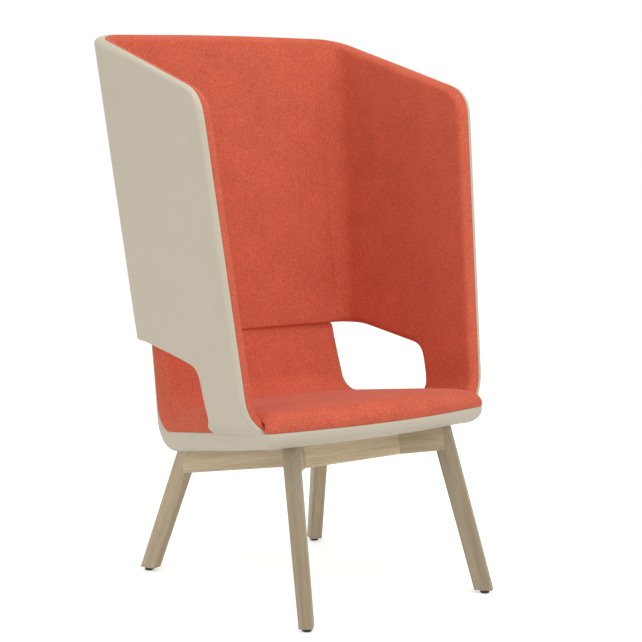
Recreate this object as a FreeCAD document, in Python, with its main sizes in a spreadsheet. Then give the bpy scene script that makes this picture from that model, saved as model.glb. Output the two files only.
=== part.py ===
import FreeCAD, Part
import math
import os
import Sketcher
from FreeCAD import Placement, Rotation, Vector

# Acoustic high back lounge chair, in millimetres.
# It faces -Y, stands on z = 0 and is symmetric about the plane x = 0.

doc = FreeCAD.newDocument("LoungeChair")
sheet = doc.addObject("Spreadsheet::Sheet", "Sizes")

SIZES = {
    # Screen: the high wall that wraps round the sitter
    "side_reach": 291.9,
    "side_toe": 0.0761,
    "side_flare": 0.0757,
    "back_reach": 157.2,
    "back_lean": 0.1505,
    "back_bow": 20,
    "bow_radius": 2600,
    "corner_radius": 70,
    "corner_fill": 2.1,
    "rim_middle": 1239.1,
    "rim_slope": 0.2776,
    "wing_tip_y": -141,
    "wing_tip_z": 1200,
    "wing_tip_radius": 65,
    "cover_depth": 15,
    "lining_depth": 24,
    "core_front": -1,
    "core_back": 7,
    "core_inset": 14,
    "edge_round": 10,
    "upright_seam": 282,
    "window_back_top": 599,
    "window_front_top": 564.4,
    "window_front": -55,
    "window_turn": 166,
    "window_radius": 28,
    "post_lean": 0.27,
    # Feet of the wings, measured upwards from the seam of the seat
    "foot_rise": 92,
    "foot_pull": 43,
    "foot_rear_flare": 77,
    "foot_front_flare": 20,
    # Seat: one bent unit, its planes given by their height at y = 0
    "under_height": 355.5,
    "under_slope": 0.168,
    "seam_height": 401,
    "seam_slope": 0.147,
    "top_height": 448.4,
    "top_slope": 0.134,
    "seat_crown": 9,
    "seat_front": -339,
    "seat_corner_y": -284,
    "seat_front_radius": 930,
    "seat_corner_radius": 46,
    "seat_taper": 0.11,
    "seat_half": 291,
    "back_half": 272,
    "back_face": 234.4,
    "back_face_lean": 0.356,
    "back_hollow": 12,
    "back_seam": 273,
    "back_seam_lean": 0.144,
    "back_outside": 282,
    "back_outside_lean": 0.15,
    "back_top": 597,
    "back_bend": 62,
    "lap_bend": 65,
    "seam_bend": 58,
    "top_edge_round": 22,
    "low_edge_round": 16,
    "board_thick": 12,
    "board_inset": 22,
    "board_rise": 12,
    "board_rear": 190,
    "crown_half": 340,
    # Wooden base
    "beam_depth": 59,
    "beam_thick": 34,
    "stretcher_thick": 28,
    "stretcher_front": -183,
    "beam_round": 3,
    "front_arm_angle": 42,
    "rear_arm_angle": 23.5,
    "leg_wide_top": 48,
    "leg_wide_foot": 44,
    "leg_thick_top": 39,
    "leg_thick_foot": 33,
    "leg_edge": 6,
    "leg_top_level": 430,
    "front_foot_x": 268,
    "front_foot_y": -363,
    "front_lean_x": 0.109,
    "front_lean_y": 0.300,
    "rear_foot_x": 261,
    "rear_foot_y": 312,
    "rear_lean_x": 0.173,
    "rear_lean_y": -0.321,
    # Fittings
    "glide_height": 9,
    "glide_width": 23,
    "glide_stem": 8,
    "glide_stem_length": 20,
    "bolt_width": 8,
    "bolt_head": 15,
    "bolt_recess": 22,
    "strap_wide": 40,
    "strap_tall": 130,
    "strap_thick": 4,
    "strap_x": 90,
    "strap_back": 26.5,
    "strap_hole": 6,
}

for row, (name, number) in enumerate(SIZES.items(), 1):
    sheet.set("A%d" % row, name)
    sheet.set("B%d" % row, str(number))
    sheet.setAlias("B%d" % row, name)
doc.recompute()


def size(name):
    return float(sheet.get(name))


SIDES = {"left": -1, "right": 1}
FAR = 600.0
nodes = []


def kept(piece, label):
    """Give a finished piece its label and list it for export."""
    piece.Label = label
    nodes.append(piece)
    return piece


def feature(label, shape, spot=Vector(0, 0, 0)):
    piece = doc.addObject("Part::Feature", label)
    piece.Shape = shape
    piece.Placement = Placement(spot, Rotation())
    return kept(piece, label)


def largest(shape):
    return max(shape.Solids, key=lambda solid: solid.Volume)


# Planes of the seat, which fall towards the back

def level(plane, y, rise=0.0):
    return size(plane + "_height") - size(plane + "_slope") * y + rise


def leaning(line, z):
    """Y of a line of the backrest that leans back with height."""
    return size(line) - size(line + "_lean") * (size("back_top") - z)


def meeting(line, plane, rise=0.0):
    """Point (y, z) where a leaning line of the backrest meets a plane of the seat."""
    slope = size(plane + "_slope")
    lean = size(line + "_lean")
    z = level(plane, leaning(line, 0), rise) / (1 + slope * lean)
    return (leaning(line, z), z)


# Outlines: straight runs through corner points, each corner rounded by a tangent arc

def rounded_edges(corners, place, closed=True):
    """Edges through (u, v, radius) corners; place(u, v) gives the point in space."""
    points = [Vector(u, v, 0) for u, v, radius in corners]
    last = len(corners) - 1
    stretches = []
    for i, (u, v, radius) in enumerate(corners):
        corner = points[i]
        open_end = not closed and i in (0, last)
        if radius == 0 or open_end:
            stretches.append((corner, None, corner))
            continue
        back = (points[i - 1] - corner).normalize()
        ahead = (points[(i + 1) % len(points)] - corner).normalize()
        half = back.getAngle(ahead) / 2
        middle = (back + ahead).normalize()
        reach = radius / math.tan(half)
        crest = corner + middle * (radius / math.sin(half) - radius)
        stretches.append((corner + back * reach, crest, corner + ahead * reach))
    edges = []
    for i, (start, crest, end) in enumerate(stretches):
        if crest is not None:
            spots = [place(p.x, p.y) for p in (start, crest, end)]
            edges.append(Part.Arc(*spots).toShape())
        if closed or i < last:
            onward = stretches[(i + 1) % len(stretches)][0]
            edges.append(Part.LineSegment(place(end.x, end.y), place(onward.x, onward.y)).toShape())
    return edges


def side_prism(corners, reach=FAR):
    """Prism of a side outline, given in (y, z, radius), from x = -reach to x = +reach."""
    wire = Part.Wire(rounded_edges(corners, lambda y, z: Vector(-reach, y, z)))
    return Part.Face(wire).extrude(Vector(2 * reach, 0, 0))


def plan_prism(corners, low=200.0, high=700.0):
    """Prism of a plan outline, given in (x, y, radius), between two heights."""
    wire = Part.Wire(rounded_edges(corners, lambda x, y: Vector(x, y, low)))
    return Part.Face(wire).extrude(Vector(0, 0, high - low))


def on_shape(edge, shape, gap=0.05):
    middle = edge.valueAt((edge.FirstParameter + edge.LastParameter) / 2)
    return Part.Vertex(middle).distToShape(shape)[0] < gap


# Screen: plan and side outlines

def screen_path(z, offset):
    """Plan line of the screen at height z, at an offset outwards from its middle surface."""
    toe = size("side_toe")
    side = size("side_reach") + size("side_flare") * z + offset * math.hypot(1, toe)
    corner_y = size("back_reach") + size("back_lean") * z + offset
    corner_x = side - toe * corner_y
    front_x = side + toe * FAR
    bend = size("corner_radius") + (offset if offset < 0 else -size("corner_fill") * offset)
    return [(front_x, -FAR, 0), (corner_x, corner_y, bend),
            (0, corner_y + size("back_bow"), size("bow_radius") + offset),
            (-corner_x, corner_y, bend), (-front_x, -FAR, 0)]


def wing_front(z):
    return size("wing_tip_y") - size("back_lean") * (size("wing_tip_z") - z)


def post_rear(z):
    return size("window_front") - size("post_lean") * (size("window_front_top") - z)


def foot_top(line):
    """Point (y, z) where a line of the post meets the upper end of the foot."""
    z = 500.0
    for _ in range(40):
        z = level("seam", line(z), size("foot_rise"))
    return (line(z), z)


def screen_outline(inset=0.0):
    """Side outline of the screen: sloping rim, leaning front edge, post and window."""
    tip_y = size("wing_tip_y")
    tip_z = size("wing_tip_z")
    rim_far = size("rim_middle") + size("rim_slope") * FAR
    front_y, front_z = foot_top(wing_front)
    rear_y, rear_z = foot_top(post_rear)
    bend = size("window_radius")
    return [(FAR, rim_far - inset, 0), (tip_y + inset, tip_z - inset, size("wing_tip_radius") - inset),
            (front_y + inset, front_z, 0), (rear_y - inset, rear_z, 0),
            (size("window_front") - inset, size("window_front_top") + inset, bend + inset),
            (size("window_turn"), size("window_back_top") + inset, 150),
            (FAR, size("window_back_top") + inset, 0)]


SCREEN_LOW = 400.0
SCREEN_MIDDLE = 900.0
SCREEN_HIGH = 1420.0


def screen_run(stretch, offset):
    """Plan corners of one stretch of the screen at its middle height: a wing or the back."""
    path = screen_path(SCREEN_MIDDLE, offset)
    run = path[0:3] if stretch == "wing" else path[1:4]
    return [(x, y, bend if i == 1 else 0) for i, (x, y, bend) in enumerate(run)]


def climb_frame(stretch):
    """Placement whose Z runs up the stretch's lean, so that its plan is drawn square to that."""
    lean = size("back_lean")
    drift = size("side_flare") - size("side_toe") * lean if stretch == "wing" else 0
    climb = Vector(drift, lean, 1).normalize()
    return Placement(Vector(0, 0, SCREEN_MIDDLE), Rotation(Vector(1, 0, 0), Vector(0, 1, 0), climb, "ZXY"))


def climbing_wire(stretch, corners, closed=True):
    """Wire of level plan corners, slid along the lean to the lower end of the stretch."""
    frame = climb_frame(stretch)
    climb = frame.Rotation.multVec(Vector(0, 0, 1))
    low = (SCREEN_LOW - SCREEN_MIDDLE) / climb.z
    slid = []
    for x, y, radius in corners:
        spot = frame.inverse().multVec(Vector(x, y, SCREEN_MIDDLE))
        slid.append((spot.x, spot.y, radius))
    return Part.Wire(rounded_edges(slid, lambda u, v: frame.multVec(Vector(u, v, low)), closed))


def run_up(flat, stretch):
    climb = climb_frame(stretch).Rotation.multVec(Vector(0, 0, 1))
    return flat.extrude(climb * ((SCREEN_HIGH - SCREEN_LOW) / climb.z))


def screen_layer(stretch, inner, outer, inset=0.0):
    """One layer of the right wing or the back, between two offsets from the middle surface."""
    corners = screen_run(stretch, outer) + screen_run(stretch, inner)[::-1]
    layer = run_up(Part.Face(climbing_wire(stretch, corners)), stretch)
    return layer.common(side_prism(screen_outline(inset))).Solids[0]


def softened(stretch, layer, offset, radius):
    """Round the edges that the layer's outline cuts into the skin at the offset."""
    skin = run_up(climbing_wire(stretch, screen_run(stretch, offset), closed=False), stretch)
    upright = Part.makeCompound(skin.Edges)
    chosen = []
    for edge in layer.Edges:
        middle = edge.valueAt((edge.FirstParameter + edge.LastParameter) / 2)
        above_foot = middle.z - level("seam", middle.y, size("foot_rise"))
        if on_shape(edge, skin) and not on_shape(edge, upright) and abs(above_foot) > 1:
            chosen.append(edge)
    return layer.makeFillet(radius, chosen)


# Feet of the wings, which curl inwards down to the side band of the seat

FOOT_STEPS = (1.0, 0.66, 0.32, 0.0)


def foot_section(share, sign, inner, outer):
    """Section of a foot parallel to the seat's seam, at a share of the foot's rise."""
    rise = size("foot_rise") * share
    toe = size("side_toe")
    pull = size("foot_pull") * (1 - share) ** 3
    front_y = foot_top(wing_front)[0]
    front_z = level("seam", front_y, rise)
    front = wing_front(front_z) - size("foot_front_flare") * max(0.0, 1 - share * 1.8) ** 2
    rear_z = level("seam", foot_top(post_rear)[0], rise)
    rear = post_rear(rear_z) + size("foot_rear_flare") * max(0.0, 1 - share * 1.5) ** 2

    def across(offset, y):
        z = level("seam", y, rise)
        return size("side_reach") + size("side_flare") * z - toe * y + offset * math.hypot(1, toe) - pull

    outer_round = size("edge_round") if outer > 0 else 0
    inner_round = size("edge_round") if inner < 0 else 0
    corners = [(across(outer, front), front, outer_round), (across(outer, rear), rear, outer_round),
               (across(inner, rear), rear, inner_round), (across(inner, front), front, inner_round)]
    place = lambda x, y: Vector(sign * x, y, level("seam", y, rise))
    return Part.Wire(rounded_edges(corners, place))


def foot(sign, inner, outer):
    return Part.makeLoft([foot_section(share, sign, inner, outer) for share in FOOT_STEPS], True, False)


# Seat: side outlines across the width and the plan outline

def seat_plan(inset=0.0):
    wide_x = size("seat_half") - size("seat_taper") * size("seat_corner_y")
    depth = size("seat_corner_y") - size("seat_front")
    radius = size("seat_front_radius")
    slope = (wide_x - math.sqrt(wide_x ** 2 - 2 * radius * depth)) / radius
    corner_x = wide_x - inset
    corner_y = size("seat_corner_y") + inset
    back_x = size("back_half") - inset
    turn_y = (size("seat_half") - size("back_half")) / size("seat_taper")
    half = [(corner_x, corner_y, size("seat_corner_radius") - inset), (back_x, turn_y, 200),
            (back_x, FAR, 0)]
    mirrored = [(-x, y, bend) for x, y, bend in half[::-1]]
    return [(0, corner_y - slope * corner_x, radius * corner_x / wide_x)] + half + mirrored


def unit_outline(crown, hollow):
    """Side outline of the seat with its cushion, at one station across the width."""
    face_y, face_z = meeting("back_face", "top", crown)
    under_y, under_z = meeting("back_outside", "under")
    top = size("back_top")
    return [(-FAR, level("under", -FAR), 0), (under_y, under_z, size("back_bend")),
            (leaning("back_outside", top), top, 0), (leaning("back_face", top) + hollow, top, 0),
            (face_y + hollow, face_z, size("lap_bend")), (-FAR, level("top", -FAR, crown), 0)]


def seat_unit():
    """Crowned seat and hollowed backrest in one, lofted across the width."""
    wires = []
    for share in (-1.0, 0.0, 1.0):
        swell = 1 - share ** 2
        corners = unit_outline(size("seat_crown") * swell, size("back_hollow") * swell)
        x = size("crown_half") * share
        wires.append(Part.Wire(rounded_edges(corners, lambda y, z: Vector(x, y, z))))
    loft = Part.makeLoft(wires, True, False)
    return loft.common(plan_prism(seat_plan())).Solids[0]


def seam_outline():
    """Side outline of everything above and in front of the seam of the seat."""
    seam_y, seam_z = meeting("back_seam", "seam")
    top = size("back_top") + 50
    return [(-FAR, level("seam", -FAR), 0), (seam_y, seam_z, size("seam_bend")),
            (leaning("back_seam", top), top, 0), (-FAR, top, 0)]


def perimeter(solid, upper):
    """Edges round the seat unit: the upper ones face the sitter, the lower ones the floor."""
    walls = plan_prism(seat_plan())
    sides = Part.makeCompound([face for face in walls.Faces if abs(face.normalAt(0, 0).z) < 0.5])
    chosen = []
    for edge in solid.Edges:
        middle = edge.valueAt((edge.FirstParameter + edge.LastParameter) / 2)
        if not on_shape(edge, sides) or abs(edge.tangentAt(edge.FirstParameter).z) > 0.999:
            continue
        if abs(middle.z - size("back_top")) < 0.5:
            continue
        seat_side = middle.z > level("seam", middle.y)
        back_side = middle.y < leaning("back_seam", middle.z)
        if (seat_side and back_side) == upper:
            chosen.append(edge)
    return chosen


# Sketch helpers

def origin_plane(body, role):
    return next(item for item in body.Origin.OriginFeatures if item.Role == role)


def sketch_on(body, name, role):
    sketch = body.newObject("Sketcher::SketchObject", name)
    sketch.AttachmentSupport = (origin_plane(body, role), [""])
    sketch.MapMode = "FlatFace"
    return sketch


def draw_section(sketch, wide, tall, cells):
    """Rectangle with rounded corners about the sketch's origin; the cells name its three sizes."""
    radius = size(cells[2])
    corners = [(1, -1), (1, 1), (-1, 1), (-1, -1)]
    ends = []
    for across, along in corners:
        ends.append(Vector(across * (wide / 2 - radius), along * (tall / 2 - radius), 0))
    for i in range(4):
        outward = Vector(0, -radius, 0), Vector(radius, 0, 0), Vector(0, radius, 0), Vector(-radius, 0, 0)
        sketch.addGeometry(Part.LineSegment(ends[i - 1] + outward[i], ends[i] + outward[i]))
    for i in range(4):
        circle = Part.Circle(ends[i], Vector(0, 0, 1), radius)
        first = math.radians(90 * i - 90)
        sketch.addGeometry(Part.ArcOfCircle(circle, first, first + math.pi / 2))
    for i in range(4):
        sketch.addConstraint(Sketcher.Constraint("Tangent", i, 2, 4 + i, 1))
        sketch.addConstraint(Sketcher.Constraint("Tangent", 4 + i, 2, (i + 1) % 4, 1))
        sketch.addConstraint(Sketcher.Constraint(("Horizontal", "Vertical")[i % 2], i))
    for i in range(3):
        sketch.addConstraint(Sketcher.Constraint("Equal", 4 + i, 5 + i))
    sketch.addConstraint(Sketcher.Constraint("Symmetric", 4, 3, 6, 3, -1, 1))
    bound = [Sketcher.Constraint("DistanceX", 3, 1, 1, 1, wide),
             Sketcher.Constraint("DistanceY", 0, 1, 2, 1, tall),
             Sketcher.Constraint("Radius", 4, radius)]
    for constraint, cell in zip(bound, cells):
        index = sketch.addConstraint(constraint)
        sketch.setExpression("Constraints[%d]" % index, "Sizes." + cell)


# Legs

def leg_axis(end, sign, z):
    x = size(end + "_foot_x") - size(end + "_lean_x") * z
    y = size(end + "_foot_y") + size(end + "_lean_y") * z
    return Vector(sign * x, y, z)


def plan_turn(end, sign):
    """Turn in plan of a leg and its arm, which point from the leg in to the stretcher."""
    angle = size(end + "_arm_angle")
    return sign * angle if end == "front" else -sign * angle


def make_leg(end, side):
    sign = SIDES[side]
    label = "leg_%s_%s" % (end, side)
    body = doc.addObject("PartDesign::Body", label + "_taper")
    sections = []
    for name, height_cell in (("foot", "glide_height"), ("top", "leg_top_level")):
        sketch = sketch_on(body, name + "_section", "XY_Plane")
        spot = leg_axis(end, sign, size(height_cell))
        turn = Rotation(Vector(0, 0, 1), plan_turn(end, sign))
        sketch.AttachmentOffset = Placement(spot, turn)
        mirror = "" if sign > 0 else "-1 * "
        cells = {"end": end, "height": height_cell, "mirror": mirror}
        reach = "%(mirror)s(Sizes.%(end)s_foot_x - Sizes.%(end)s_lean_x * Sizes.%(height)s)"
        depth = "Sizes.%(end)s_foot_y + Sizes.%(end)s_lean_y * Sizes.%(height)s"
        sketch.setExpression("AttachmentOffset.Base.x", reach % cells)
        sketch.setExpression("AttachmentOffset.Base.y", depth % cells)
        sketch.setExpression("AttachmentOffset.Base.z", "Sizes." + height_cell)
        cells = ["leg_thick_" + name, "leg_wide_" + name, "leg_edge"]
        draw_section(sketch, size(cells[0]), size(cells[1]), cells)
        sections.append(sketch)
    loft = body.newObject("PartDesign::AdditiveLoft", "Taper")
    loft.Profile = sections[0]
    loft.Sections = [sections[1]]
    loft.Ruled = True
    above = doc.addObject("Part::Box", label + "_above_seat")
    above.Length = above.Width = above.Height = FAR
    tilt = Rotation(Vector(1, 0, 0), -math.degrees(math.atan(size("under_slope"))))
    corner = Vector(-FAR / 2, 0, size("under_height")) + tilt.multVec(Vector(0, -FAR / 2, 0))
    above.Placement = Placement(corner, tilt)
    bore = doc.addObject("Part::Cylinder", label + "_glide_bore")
    bore.setExpression("Radius", "Sizes.glide_stem / 2")
    bore.setExpression("Height", "Sizes.glide_stem_length + 10")
    bore.Placement = Placement(leg_axis(end, sign, 0), Rotation())
    tools = doc.addObject("Part::MultiFuse", label + "_removed")
    tools.Shapes = [above, bore]
    leg = doc.addObject("Part::Cut", label)
    leg.Base = body
    leg.Tool = tools
    return kept(leg, label)


# Beams of the base, which hang under the seat and run along its slope

def beam_frame(start, heading):
    """Placement whose Z runs along a beam in the plane of the underside and X points up."""
    slope = size("under_slope")
    up = Vector(0, slope, 1).normalize()
    ahead = Vector(heading.x, heading.y, -slope * heading.y).normalize()
    across = ahead.cross(up)
    middle = Vector(start.x, start.y, level("under", start.y)) - up * (size("beam_depth") / 2)
    return Placement(middle, Rotation(up, across, ahead, "ZXY"))


def make_beam(label, start, heading, length, thick_cell):
    body = doc.addObject("PartDesign::Body", label + "_beam")
    sketch = sketch_on(body, "Section", "XY_Plane")
    draw_section(sketch, size("beam_depth"), size(thick_cell), ["beam_depth", thick_cell, "beam_round"])
    pad = body.newObject("PartDesign::Pad", "Length")
    pad.Profile = sketch
    pad.Length = length
    body.Placement = beam_frame(start, heading)
    return body


def heading_of(end, sign):
    angle = math.radians(size(end + "_arm_angle"))
    forward = 1 if end == "front" else -1
    return Vector(-sign * math.sin(angle), forward * math.cos(angle), 0)


def arm_start(end, sign):
    """Point of a leg's axis at the middle height of the arm."""
    z = level("under", size(end + "_foot_y") * 0.7) - size("beam_depth") / 2
    return leg_axis(end, sign, z)


def stretcher_middle_y():
    return size("stretcher_front") + size("stretcher_thick") / 2


def half_space(label, y, forward):
    """Large block in front of (forward) or behind a plane of constant y."""
    block = doc.addObject("Part::Box", label)
    block.Length = block.Width = block.Height = 2 * FAR
    block.Placement.Base = Vector(-FAR, y - 2 * FAR if forward else y, -FAR)
    return block


def cut_by(label, base, tools):
    joined = tools[0]
    if len(tools) > 1:
        joined = doc.addObject("Part::MultiFuse", label + "_removed")
        joined.Shapes = tools
    cut = doc.addObject("Part::Cut", label)
    cut.Base = base
    cut.Tool = joined
    return cut


def bolt_places():
    """Placements of the bolts that hold the base to the seat, seen from below."""
    slope = size("under_slope")
    up = Vector(0, slope, 1).normalize()
    turn = Rotation(Vector(0, 0, 1), up)
    places = []
    for sign in SIDES.values():
        spots = []
        for end, shares in (("front", (0.62,)), ("rear", (0.22, 0.78))):
            start = arm_start(end, sign)
            ahead = heading_of(end, sign)
            run = (stretcher_middle_y() - start.y) / ahead.y
            spots += [start + ahead * run * share for share in shares]
        spots.append(Vector(sign * 95, stretcher_middle_y(), 0))
        for spot in spots:
            low = Vector(spot.x, spot.y, level("under", spot.y)) - up * size("beam_depth")
            places.append(Placement(low, turn))
    return places


def bolt_shape(body_width, head_width, tip):
    """Bolt standing on its head, which sits up the recess, with its shank along +Z."""
    recess = size("bolt_recess")
    head = Part.makeCylinder(head_width / 2, recess * 0.4, Vector(0, 0, recess * 0.6))
    shank = Part.makeCylinder(body_width / 2, tip - recess, Vector(0, 0, recess))
    return head.fuse(shank).removeSplitter()


def bolt_holes():
    holes = []
    for place in bolt_places():
        recess = Part.makeCylinder(size("bolt_head") / 2 + 1, size("bolt_recess"))
        bore = Part.makeCylinder(size("bolt_width") / 2, 120, Vector(0, 0, -10))
        hole = recess.fuse(bore)
        hole.Placement = place
        holes.append(hole)
    tool = doc.addObject("Part::Feature", "bolt_holes")
    tool.Shape = Part.makeCompound(holes)
    return tool


holes = bolt_holes()
stretcher_back = size("stretcher_front") + size("stretcher_thick")
front_arms = []
for side, sign in SIDES.items():
    legs = {end: make_leg(end, side) for end in ("front", "rear")}
    for end in ("front", "rear"):
        label = "arm_%s_%s" % (end, side)
        beam = make_beam(label, arm_start(end, sign), heading_of(end, sign), FAR, "beam_thick")
        beyond = half_space(label + "_beyond", stretcher_back, end == "rear")
        arm = kept(cut_by(label, beam, [legs[end], beyond, holes]), label)
        if end == "front":
            front_arms.append(arm)
bar = make_beam("front_stretcher", Vector(-200, stretcher_middle_y(), 0), Vector(1, 0, 0), 400,
                "stretcher_thick")
outside = doc.addObject("Part::Feature", "stretcher_ends")
ends = []
for sign in SIDES.values():
    start = arm_start("front", sign)
    ahead = heading_of("front", sign)
    inner = start - Vector(sign * math.cos(math.radians(size("front_arm_angle"))),
                           math.sin(math.radians(size("front_arm_angle"))), 0) * (size("beam_thick") / 2)
    near = inner - ahead * FAR
    far = inner + ahead * FAR
    corners = [near, far, far + Vector(sign * 2 * FAR, 0, 0), near + Vector(sign * 2 * FAR, 0, 0)]
    flat = Part.Face(Part.makePolygon([Vector(p.x, p.y, 0) for p in corners + corners[:1]]))
    ends.append(flat.extrude(Vector(0, 0, FAR)))
outside.Shape = Part.makeCompound(ends)
kept(cut_by("front_stretcher", bar, [outside, holes]), "front_stretcher")

# Boards inside the seat and the backrest

low = size("board_rise")
high = low + size("board_thick")
rear = size("board_rear")
base_board = side_prism([(-FAR, level("under", -FAR, low), 0), (rear, level("under", rear, low), 0),
                         (rear, level("under", rear, high), 0), (-FAR, level("under", -FAR, high), 0)])
base_board = base_board.common(plan_prism(seat_plan(size("board_inset"))))
low_back = level("seam", 240) + 60
back_lines = [(leaning("back_seam", z) - gap, z) for gap, z in
              ((4, low_back), (4, size("back_top") - 4), (12, size("back_top") - 4), (12, low_back))]
back_board = side_prism([(y, z, 0) for y, z in back_lines], size("back_half") - size("board_inset"))

# Seat unit, parted at its seam into the red cushion and the beige cover

above_seam = side_prism(seam_outline())
crowned = seat_unit()
cushion = crowned.makeFillet(size("top_edge_round"), perimeter(crowned, True)).common(above_seam)
plain = side_prism(unit_outline(0, 0)).common(plan_prism(seat_plan())).Solids[0]
seat_cover = plain.makeFillet(size("low_edge_round"), perimeter(plain, False)).cut(above_seam)

# Screen: a sealed core between the outer cover and the lining

cover_depth = size("cover_depth")
lining_depth = -size("lining_depth")
cores = {}
covers = {}
linings = {}
for stretch in ("wing", "back"):
    core = screen_layer(stretch, size("core_front"), size("core_back"), size("core_inset"))
    cover = softened(stretch, screen_layer(stretch, 0, cover_depth), cover_depth, size("edge_round"))
    lining = softened(stretch, screen_layer(stretch, lining_depth, 0), lining_depth, size("edge_round"))
    cores[stretch] = core
    covers[stretch] = cover.cut(core)
    linings[stretch] = lining.cut(core)


def slab(low_x, high_x):
    return Part.makeBox(high_x - low_x, 4 * FAR, 3 * FAR, Vector(low_x, -2 * FAR, 0))


def strap_shape():
    """Flat steel strap with four holes, upright, its back face on the plane y = 0."""
    wide = size("strap_wide")
    tall = size("strap_tall")
    thick = size("strap_thick")
    strap = Part.makeBox(wide, thick, tall, Vector(-wide / 2, -thick, -tall / 2))
    for share in (-0.38, -0.18, 0.18, 0.38):
        spot = Vector(0, thick, share * tall)
        strap = strap.cut(Part.makeCylinder(size("strap_hole") / 2, thick * 3, spot, Vector(0, -1, 0)))
    return strap


straps = []
for sign in SIDES.values():
    strap = strap_shape()
    z = size("back_top")
    y = size("back_reach") + size("back_lean") * z + size("strap_back")
    tilt = Rotation(Vector(1, 0, 0), -math.degrees(math.atan(size("back_lean"))))
    strap.Placement = Placement(Vector(sign * size("strap_x"), y, z), tilt)
    straps.append(strap)
strap_pair = Part.makeCompound(straps)

seam = size("upright_seam")
beyond = slab(seam, 2 * FAR)
between = slab(-seam, seam)
middle_plane = (Vector(0, 0, 0), Vector(1, 0, 0))
for side, sign in SIDES.items():
    wing = {}
    for name, layers in (("core", cores), ("cover", covers), ("lining", linings)):
        right = layers["wing"].common(beyond)
        wing[name] = right if sign > 0 else right.mirror(*middle_plane)
    cover_foot = foot(sign, 0, cover_depth)
    lining_foot = foot(sign, lining_depth, 0)
    feature("screen_core_" + side, wing["core"])
    feature("screen_cover_" + side, Part.makeCompound(wing["cover"].Solids + [cover_foot]))
    feature("screen_lining_" + side, Part.makeCompound(wing["lining"].Solids + [lining_foot]))
    cushion = cushion.cut(cover_foot).cut(lining_foot)
    seat_cover = seat_cover.cut(cover_foot).cut(lining_foot)
feature("screen_core_back", cores["back"].common(between))
feature("screen_cover_back", covers["back"].common(between).cut(strap_pair))
feature("screen_lining_back", linings["back"].common(between))
feature("screen_straps", strap_pair)
feature("seat_cushion", largest(cushion.cut(back_board).cut(strap_pair)))
feature("seat_cover", largest(seat_cover.cut(base_board).cut(holes.Shape).cut(strap_pair)))
feature("seat_board", base_board.cut(holes.Shape))
feature("back_board", back_board)

# Fittings: bolts and floor glides

bolts = []
for place in bolt_places():
    bolt = bolt_shape(size("bolt_width"), size("bolt_head"), size("beam_depth") + 20)
    bolt.Placement = place
    bolts.append(bolt)
feature("base_bolts", Part.makeCompound(bolts))

glide_body = doc.addObject("PartDesign::Body", "glide_pattern")
profile = sketch_on(glide_body, "Profile", "XZ_Plane")
rim = size("glide_width") / 2
stem = size("glide_stem") / 2
tall = size("glide_height")
reach_up = tall + size("glide_stem_length")
turns = [(0, 0), (rim - 2, 0), (rim, 2), (rim, tall), (stem, tall), (stem, reach_up), (0, reach_up)]
for (ax, az), (bx, bz) in zip(turns, turns[1:] + turns[:1]):
    profile.addGeometry(Part.LineSegment(Vector(ax, az, 0), Vector(bx, bz, 0)))
turning = glide_body.newObject("PartDesign::Revolution", "Turned")
turning.Profile = profile
turning.ReferenceAxis = (profile, ["V_Axis"])
turning.Angle = 360
doc.recompute()
for end in ("front", "rear"):
    for side, sign in SIDES.items():
        feature("glide_%s_%s" % (end, side), glide_body.Shape, leg_axis(end, sign, 0))

# Build, test and write

doc.recompute()
for item in doc.Objects:
    if "Invalid" in item.State or "Error" in item.State:
        raise RuntimeError("failed object: " + item.Label)
os.makedirs("parts", exist_ok=True)
for node in nodes:
    shape = node.Shape
    if shape.isNull() or not shape.isValid():
        raise RuntimeError("bad shape: " + node.Label)
    shape.exportStep("parts/%s.step" % node.Label)
print(len(nodes), "pieces")
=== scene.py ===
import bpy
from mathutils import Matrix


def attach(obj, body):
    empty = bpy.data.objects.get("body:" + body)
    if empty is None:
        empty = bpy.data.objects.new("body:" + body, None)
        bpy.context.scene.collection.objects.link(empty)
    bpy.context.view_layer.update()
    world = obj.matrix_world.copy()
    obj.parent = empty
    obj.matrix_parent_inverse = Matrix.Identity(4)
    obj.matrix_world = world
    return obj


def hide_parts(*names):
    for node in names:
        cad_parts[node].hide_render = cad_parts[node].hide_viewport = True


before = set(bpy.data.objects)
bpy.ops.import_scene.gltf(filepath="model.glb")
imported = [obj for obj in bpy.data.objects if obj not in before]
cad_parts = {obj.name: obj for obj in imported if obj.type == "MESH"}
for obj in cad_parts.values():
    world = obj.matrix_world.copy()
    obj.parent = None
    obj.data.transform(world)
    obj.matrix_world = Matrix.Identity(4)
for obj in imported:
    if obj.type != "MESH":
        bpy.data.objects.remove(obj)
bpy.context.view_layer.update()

import math
import bmesh
import bpy
import numpy as np
from mathutils import Vector, geometry

# Wooden base: four tapered legs, two short front arms, two long rear arms and a front stretcher.
# They are sawn from solid pale oak with the grain along each piece and have a thin matt lacquer.
# The solids come from the frame, and each gets a grain that runs its own way. Each piece's oak
# colour is also scaled by painted light and shade: painted shade on the front legs, and painted light
# on the arms and most of all on the stretcher, which lies in the seat's shade.

FRONT_LEG_LEAN = (0.109, 0.300)
REAR_LEG_LEAN = (0.173, -0.321)
FRONT_ARM_TURN = math.radians(42)
REAR_ARM_TURN = math.radians(23.5)
ARM_SLOPE = 0.168
# Painted light and shade: each factor scales one piece's oak colour in place of the light that falls on it;
# below 1 is painted shade, above 1 is painted light.
FRONT_LEG_PAINTED_SHADE = 0.72
REAR_LEG_PAINTED_LIGHT = 1.0
FRONT_ARM_PAINTED_LIGHT = 1.05
REAR_ARM_PAINTED_LIGHT = 1.2
STRETCHER_PAINTED_LIGHT = 1.45
OAK_DARK = (0.400, 0.315, 0.210)
OAK_MIDDLE = (0.475, 0.385, 0.262)
OAK_LIGHT = (0.530, 0.440, 0.310)
OAK_GRAIN_STRETCH = 0.05


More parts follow.
